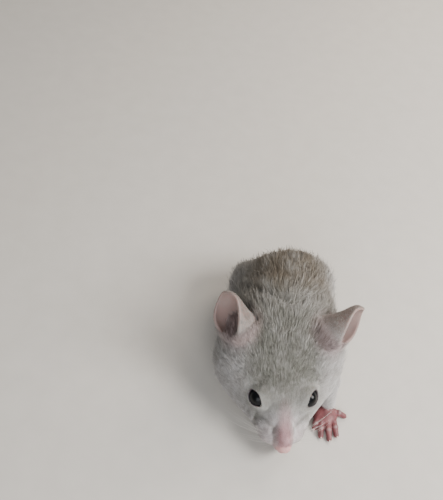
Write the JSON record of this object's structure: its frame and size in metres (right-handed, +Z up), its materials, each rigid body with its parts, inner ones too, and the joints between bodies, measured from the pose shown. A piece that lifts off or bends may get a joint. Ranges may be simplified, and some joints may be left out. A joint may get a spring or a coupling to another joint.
{
  "type": "syrian hamster",
  "caption": "Young Syrian hamster crouching with its nose low and ears spread, a still life-size model in a silver-grey coat.",
  "frame": {"origin": "middle of the floor under the animal, at the bottom of its bounding box", "axes": "+Z up, -Y towards the nose, +X towards the animal's own left side"},
  "size_m": [0.038, 0.0611, 0.0279],
  "materials": {
    "coat": "short soft silver-grey fur, paler on the cheeks and muzzle",
    "pink_skin": "bare pink skin with fine creases",
    "ear_skin": "thin matt pinkish-grey skin with fine down",
    "eye": "wet, slate black",
    "claw": "pale translucent horn",
    "whisker": "fine pale hair"
  },
  "bodies": {
    "root": {"head": "coat", "neck": "coat", "trunk": "coat", "foreleg_right": "coat", "foreleg_left": "coat", "hindleg_right": "coat", "hindleg_left": "coat", "forefoot_right": "pink_skin", "forefoot_left": "pink_skin", "hindfoot_right": "pink_skin", "hindfoot_left": "pink_skin", "tail": "pink_skin", "nose": "pink_skin", "ear_right": "ear_skin", "ear_left": "ear_skin", "eye_right": "eye", "eye_left": "eye"}
  },
  "joints": []
}
